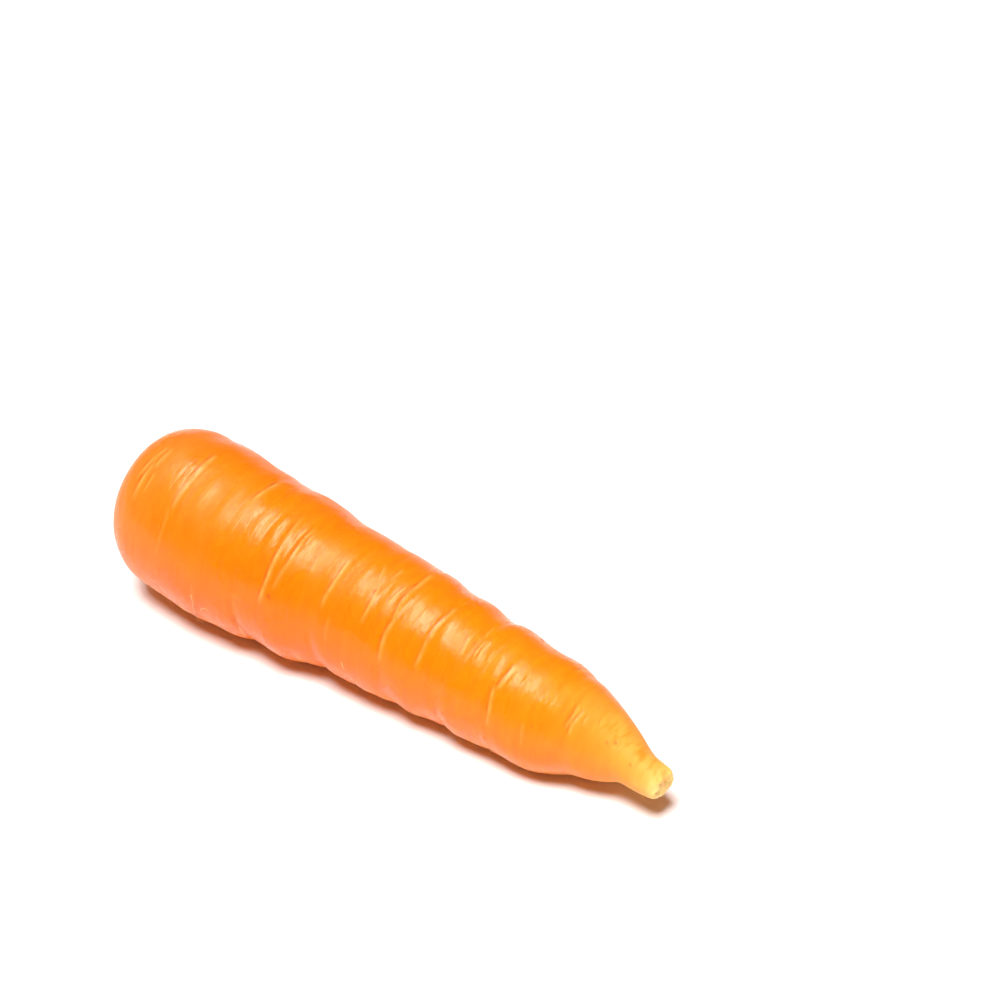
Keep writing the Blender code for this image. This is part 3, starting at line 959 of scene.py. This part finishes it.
# %% Material of the skin
n = Nodes(bpy.data.materials.new("washed carrot skin"))
station = n.attribute("station")
crown = n.times(n.attribute("crown"), CROWN_TINT)
crowned = n.mix(crown, skin_colour(n, station), crown_colour(n))
skin.data.materials.append(n.shade(
    Base_Color=n.mix(n.attribute("pit"), crowned, PIT_BROWN),
    Roughness=skin_roughness(n, station), Normal=skin_grain(n), Specular_IOR_Level=0.3,
    Subsurface_Weight=0.3, Subsurface_Radius=(1.0, 0.32, 0.08), Subsurface_Scale=0.003,
))
print("skin material:", len(n.tree.nodes), "nodes")

# %% [markdown]
# ## The cut leaf stalks
#
# The leaves were cut off short. What is left is a ring of crescents round the crown's heart,
# because a leaf stalk hugs the younger ones inside it. Each new leaf turns on from the last by
# the golden angle, and the same rule places them here. Every stub gets a ragged cut end, a
# little lower than the solid's, so that it stays inside the solid's space.

# %% The outline of one stub
STALK_RING_POINTS = 44
STALK_TURNS = np.linspace(0, math.tau, STALK_RING_POINTS, endpoint=False)


def circle(turns, radius):
    """(side, height) points at the given turns."""
    return np.stack([radius * np.cos(turns), radius * np.sin(turns)], axis=1)


def crescent(spread, middle, span, thickness):
    """The outline of one stub, with round horns. One close to the heart is simply round."""
    if spread < thickness:
        return circle(np.radians([middle]), spread) + circle(STALK_TURNS, 0.5 * thickness)
    along = np.radians(middle - 0.5 * span * np.cos(STALK_TURNS))
    return circle(along, spread + 0.5 * thickness * np.sin(STALK_TURNS))


print("each stub has", STALK_RING_POINTS, "points round it")

# %% A stub's rings, from its foot to its cut face
EDGE_ROUNDING = 0.16
STRAIGHT_SHARE = 0.6
CUT_FACE = ((0.05, 0.72), (0.12, 0.45), (0.1, 0.2))
CUT_ROUGHNESS = 0.14
CUT_BY_RING = (0, 0, 0, 0.3, 0.9, 1, 1, 1.0)


def stub_rings(outline, foot, top, flare, draw):
    """Rings from the foot up to a rounded edge and over the ragged cut face."""
    centre = outline.mean(axis=0)
    levels = [(foot, 1.0), (foot + STRAIGHT_SHARE * (top - foot), 1.0), (top + EDGE_ROUNDING, 1.0)]
    levels += [(top + 0.3 * EDGE_ROUNDING, 0.97), (top, 0.9)]
    levels += [(top + rise, shrink) for rise, shrink in CUT_FACE]
    rings = []
    for level, shrink in levels:
        grow = 1 + (flare - 1) * (foot - level) / (foot - top)
        ring = (centre + (outline - centre) * shrink) * grow
        rough = np.zeros(len(ring))
        if shrink < 0.95:
            rough = np.array([draw.uniform(0, CUT_ROUGHNESS) for _ in ring])
        rings.append(np.stack([level + rough, ring[:, 0], CROWN_HEIGHT + ring[:, 1]], axis=1))
    return np.array(rings) - MIDDLE


def make_stub(name, rings):
    """One stub. Its rings go towards -X, so each is turned round to make the faces look out."""
    return closed_tube(name, rings[:, ::-1])


def join_pieces(name, pieces):
    """Several separate meshes made into one object."""
    bpy.ops.object.select_all(action="DESELECT")
    for piece in pieces:
        piece.select_set(True)
    bpy.context.view_layer.objects.active = pieces[0]
    bpy.ops.object.join()
    pieces[0].name = name
    return pieces[0]


print("each stub has", len(CUT_BY_RING), "rings")

# %% Build the stubs
STALK_SEED = 7
STALK_COUNT = 12
STALK_DISC_RADIUS = 5.2
STALK_DISC_TOP = 2.2
STALK_GAP = 0.3
STALK_SPREAD = 4.1
STALK_SPREAD_POWER = 0.6
STALK_THICKNESS = 1.5
STALK_THINNING = 0.4
STALK_TOPS = (-0.9, 1.3)
STALK_SPAN = (62, 96)
STALK_ROOTING = 0.25
STALK_ROOTING_STEP = 0.03
STALK_FLARE = 1.06
DISC_FLARE = 0.94
GOLDEN_ANGLE = 137.508


def make_stubs():
    tops = random.Random(STALK_SEED)
    rough = random.Random(STALK_SEED + 1)
    foot = HOLLOW_DEPTH - STALK_GAP
    disc = circle(STALK_TURNS, STALK_DISC_RADIUS)
    rings = stub_rings(disc, foot, STALK_DISC_TOP, DISC_FLARE, rough)
    pieces = [make_stub("crown_disc", rings)]
    store(pieces[0], "cut", np.zeros((len(CUT_BY_RING), STALK_RING_POINTS)))
    for i in range(STALK_COUNT):
        share = i / (STALK_COUNT - 1)
        spread = STALK_SPREAD * (1 - share) ** STALK_SPREAD_POWER
        span = STALK_SPAN[0] + (STALK_SPAN[1] - STALK_SPAN[0]) * share
        thickness = STALK_THICKNESS - STALK_THINNING * share
        outline = crescent(spread, i * GOLDEN_ANGLE, span, thickness)
        start = foot - STALK_ROOTING - STALK_ROOTING_STEP * i
        rings = stub_rings(outline, start, tops.uniform(*STALK_TOPS), STALK_FLARE, rough)
        pieces.append(make_stub(f"stub_{i}", rings))
        cut = np.repeat(np.array(CUT_BY_RING)[:, None], STALK_RING_POINTS, axis=1)
        store(pieces[-1], "cut", cut)
    return join_pieces("leaf_stalk_stubs_fine", pieces)


stubs = make_stubs()
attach(stubs, "root")
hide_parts("leaf_stalk_stubs")
print("stubs:", len(stubs.data.polygons), "faces")

# %% [markdown]
# ## The stubs' finish
#
# A cut stalk dries from its end: the sides stay dull green, and the cut face turns tan with
# paler fibres. Fine noise drawn out along the stalk gives the fibres.

# %% Material of the stubs
STALK_GREENS = (rgb(0.17, 0.19, 0.035), rgb(0.36, 0.33, 0.10))
PITH_TANS = (rgb(0.42, 0.27, 0.10), rgb(0.68, 0.55, 0.28))
DRIED_BROWN = rgb(0.16, 0.085, 0.03)
STALK_ROUGHNESS = (0.6, 0.85)

n = Nodes(bpy.data.materials.new("dry cut stalk"))
fibres = n.span(n.noise(2400, 3, stretch=(0.2, 1, 1)), 0.3, 0.7)
side = n.mix(fibres, *STALK_GREENS)
pith = n.mix(n.span(n.noise(3800, 2), 0.35, 0.65), *PITH_TANS)
face = n.mix(n.attribute("cut"), side, pith)
browned = n.mix(n.span(n.noise(700, 3), 0.5, 0.75, 0, 0.6), face, DRIED_BROWN)
stubs.data.materials.append(n.shade(
    Base_Color=browned, Roughness=n.span(fibres, 0, 1, *STALK_ROUGHNESS),
    Normal=n.bump(fibres, 0.6, 0.0002), Subsurface_Weight=0.1,
    Subsurface_Radius=(1.0, 0.6, 0.3), Subsurface_Scale=0.001,
))
print("stub material:", len(n.tree.nodes), "nodes")

# %% [markdown]
# ## Dry rootlets
#
# Washing leaves a few of the finest roots on the skin. Each is a thin tube that starts on the
# root and lies almost flat against it. They are real meshes and not hair strands, so that they
# stay in an exported model. A record is: its points as (station, angle, height over the skin),
# and its thickness at the start.

# %% The records of the rootlets
ROOTLETS = (
    (((33.2, 184, 0.0), (33.6, 190, 0.15), (33.0, 200, 0.25), (32.0, 211, 0.3),
      (31.6, 223, 0.6)), 0.13),
    (((35.6, 200, 0.0), (36.0, 194, 0.5), (37.4, 190, 0.5), (38.8, 192, 0.25)), 0.13),
    (((46.2, 200, 0.0), (46.5, 205, 0.45), (46.9, 212, 0.55)), 0.15),
    (((78.4, 184, 0.0), (78.9, 188, 0.35), (79.5, 193, 0.3)), 0.13),
    (((60.5, 292, 0.0), (60.0, 306, 0.3), (58.0, 322, 0.5), (57.5, 334, 0.2)), 0.14),
    (((104.0, 8, 0.0), (104.6, 18, 0.4), (106.4, 27, 0.35), (107.0, 34, 0.1)), 0.13),
    (((24.0, 340, 0.0), (24.8, 350, 0.5), (26.6, 357, 0.4), (27.5, 366, 0.15)), 0.15),
)
print(len(ROOTLETS), "rootlets")

# %% Build the rootlets
ROOTLET_STEPS = 26
ROOTLET_SIDES = 8
ROOTLET_SMOOTHING = 5
ROOTLET_TAPER = 0.75


def skin_at(station, degrees, height):
    """One point over the skin, in millimetres."""
    x = np.array([[float(station)]])
    angle = np.array([[float(degrees)]])
    radius = smooth_between(BODY_RADII, x) + broad_relief(x, angle) - SKIN_INSET + height
    return place_on_root(x, radius, angle)[0, 0]


def rootlet_path(marks):
    """A smooth run of points through the marks."""
    marks = np.array(marks, float)
    at = np.linspace(0, len(marks) - 1, ROOTLET_STEPS)
    kernel = np.ones(ROOTLET_SMOOTHING) / ROOTLET_SMOOTHING
    smooth = []
    for k in range(3):
        line = np.interp(at, np.arange(len(marks)), marks[:, k])
        padded = np.pad(line, ROOTLET_SMOOTHING // 2, mode="edge")
        smooth.append(np.convolve(padded, kernel, mode="valid"))
    return np.array([skin_at(*p) for p in zip(*smooth)])


def make_rootlet(index, marks, thickness):
    path = rootlet_path(marks)
    turns = np.linspace(0, math.tau, ROOTLET_SIDES, endpoint=False)[:, None]
    rings = []
    for i, centre in enumerate(path):
        ahead = Vector(path[min(i + 1, ROOTLET_STEPS - 1)] - path[max(i - 1, 0)]).normalized()
        across = ahead.cross(Vector((1, 0, 0))).normalized()
        up = ahead.cross(across)
        size = thickness * (1 - ROOTLET_TAPER * i / ROOTLET_STEPS)
        rings.append(centre + size * (np.cos(turns) * across + np.sin(turns) * up))
    return closed_tube(f"rootlet_{index}", np.array(rings))


rootlets = join_pieces("rootlets", [make_rootlet(i, *r) for i, r in enumerate(ROOTLETS)])
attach(rootlets, "root")
print("rootlets:", len(rootlets.data.polygons), "faces")

# %% [markdown]
# ## The rootlets' finish
#
# A dried rootlet is straw coloured and has no gloss. It is too thin for a pattern to be seen, so
# a soft change of tone along it is enough.

# %% Material of the rootlets
STRAW_TONES = (rgb(0.86, 0.47, 0.15), rgb(0.93, 0.68, 0.36))
ROOTLET_ROUGHNESS = (0.45, 0.7)

n = Nodes(bpy.data.materials.new("dry rootlet"))
tone = n.mix(n.span(n.noise(1500, 2), 0.3, 0.7), *STRAW_TONES)
rough = n.span(n.noise(900, 2), 0.3, 0.7, *ROOTLET_ROUGHNESS)
wrinkled = n.bump(n.noise(6000, 2), 0.4, 0.00005)
rootlets.data.materials.append(n.shade(Base_Color=tone, Roughness=rough, Normal=wrinkled))
print("rootlet material:", len(n.tree.nodes), "nodes")

# %% [markdown]
# ## The white table
#
# A white floor does two jobs: it is the background, and it throws light up onto the lower side
# of the carrot. It is far larger than the carrot, so that no edge shows from any side. It lies
# a hair under the carrot, so that the two surfaces never fight for the same place.

# %% Floor
FLOOR_SIZE = 6.0
FLOOR_DROP = 0.00005
FLOOR_WHITES = (rgb(0.86, 0.86, 0.86), rgb(0.90, 0.90, 0.90))

half = FLOOR_SIZE / 2
floor_corners = [(-half, -half, 0), (half, -half, 0), (half, half, 0), (-half, half, 0)]
floor_mesh = bpy.data.meshes.new("white_table")
floor_mesh.from_pydata(floor_corners, [], [(0, 1, 2, 3)])
floor = add_to_scene("white_table", floor_mesh)
floor.location.z = -FLOOR_DROP
floor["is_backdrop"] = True
n = Nodes(bpy.data.materials.new("matt white table"))
tone = n.mix(n.noise(30, 2), *FLOOR_WHITES)
floor_mesh.materials.append(n.shade(Base_Color=tone, Roughness=0.9, Specular_IOR_Level=0.1))
print("floor:", FLOOR_SIZE, "m wide")

# %% [markdown]
# ## Light
#
# A soft light high up in front of the carrot gives most of the light and keeps the shadow short.
# It is a sun with a very wide disc: as soft as a softbox, but it lights the whole table evenly,
# so the table stays white from every side. It is used as if through a polarising filter, which
# takes its glare off the damp skin. A bright card hangs over the back. Only the gloss sees it,
# and its reflection is the row of soft spots along the root's top. Directions are given as seen
# from the camera: how far to the right, how far away, and how far up.

# %% Lights
CAMERA_AZIMUTH = math.radians(37.85)
LIGHT_DISTANCE = 2.0
KEY_FROM = (-0.15, -0.33, 1)
KEY_ANGLE = math.radians(22)
KEY_STRENGTH = 4.85
CARD_FROM = (-0.22, 0.07, 0.96)
CARD_SIZE = (1.5, 0.5)
CARD_POWER = 50.0
CARD_TINT = (1.0, 0.94, 0.72)

to_right = Vector((math.cos(CAMERA_AZIMUTH), math.sin(CAMERA_AZIMUTH), 0))
to_away = Vector((-math.sin(CAMERA_AZIMUTH), math.cos(CAMERA_AZIMUTH), 0))


def look_from(obj, direction):
    """Turn a lamp or a camera, so that it looks from the given direction."""
    obj.rotation_mode = "QUATERNION"
    obj.rotation_quaternion = direction.to_track_quat("Z", "Y")


def hang(data, right, away, up):
    """A lamp made from its data, hung so that it shines on the carrot."""
    direction = to_right * right + to_away * away + Vector((0, 0, up))
    light = add_to_scene(data.name, data)
    light.location = direction.normalized() * LIGHT_DISTANCE
    look_from(light, direction)
    return light


key_data = bpy.data.lights.new("wide_sun", "SUN")
key_data.angle = KEY_ANGLE
key_data.energy = KEY_STRENGTH
key = hang(key_data, *KEY_FROM)
key.visible_glossy = False
card_data = bpy.data.lights.new("top_card", "AREA")
card_data.shape = "RECTANGLE"
card_data.size, card_data.size_y = CARD_SIZE
card_data.energy = CARD_POWER
card_data.color = CARD_TINT
card = hang(card_data, *CARD_FROM)
card.visible_diffuse = False
print("a wide sun and a card,", LIGHT_DISTANCE, "m away")

# %% [markdown]
# ## The room
#
# The camera sees a white room. The carrot sees a dim, warm one, a little brighter overhead,
# which fills the shadow and keeps the skin's orange deep. The two can differ because a node says
# which rays come from the camera.

# %% Surroundings
HORIZON_GLOW = 0.18
ZENITH_GLOW = 0.28
BACKDROP = 1.0
ROOM_TINT = rgb(1.4, 0.56, 0.34)
SEEN_WHITE = rgb(1, 1, 1)

room = Nodes(bpy.data.worlds.new("white studio"), "Background")
seen = room.add("ShaderNodeLightPath", {}, "Is Camera Ray")
direction = room.add("ShaderNodeTexCoord", {}, "Generated")
upwards = room.add("ShaderNodeSeparateXYZ", {0: direction}, "Z")
glow = room.span(upwards, 0, 1, HORIZON_GLOW, ZENITH_GLOW)
strength = room.span(seen, 0, 1, glow, BACKDROP)
bpy.context.scene.world = room.shade(
    Strength=strength, Color=room.mix(seen, ROOM_TINT, SEEN_WHITE)
)
bpy.context.scene.view_settings.view_transform = "Standard"
print("the room's glow goes from", HORIZON_GLOW, "to", ZENITH_GLOW)

# %% [markdown]
# ## Camera
#
# The picture is taken with a long lens from a little under a metre, looking down by 38 degrees,
# with the root running away from the lower right to the upper left.

# %% Camera
CAMERA_ELEVATION = math.radians(38)
CAMERA_DISTANCE = 778.7
LENS_MM = 100.8
SENSOR_MM = 36
NEAREST_SEEN = 0.05
AIM_RIGHT = 91.7
AIM_AWAY = 26.8

aim = (to_right * AIM_RIGHT + to_away * AIM_AWAY - Vector(MIDDLE)) * MM
back = -to_away * math.cos(CAMERA_ELEVATION) + Vector((0, 0, math.sin(CAMERA_ELEVATION)))
camera_data = bpy.data.cameras.new("camera")
camera_data.lens = LENS_MM
camera_data.sensor_width = SENSOR_MM
camera_data.clip_start = NEAREST_SEEN
camera = add_to_scene("camera", camera_data)
camera.location = aim + back * CAMERA_DISTANCE * MM
look_from(camera, back)
bpy.context.scene.camera = camera
print("camera at", [round(v, 3) for v in camera.location])

# %% [markdown]
# ## The dressed size
#
# The fine skin has to stay inside the solid's box, because the solid is what a simulation or a
# printer uses. The dressed carrot's box is measured here, and its size is printed.

# %% Measure the dressed carrot
visual_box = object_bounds()
dressed = [round(side / MM, 1) for side in visual_box[1] - visual_box[0]]
print("the dressed carrot measures", dressed, "mm")
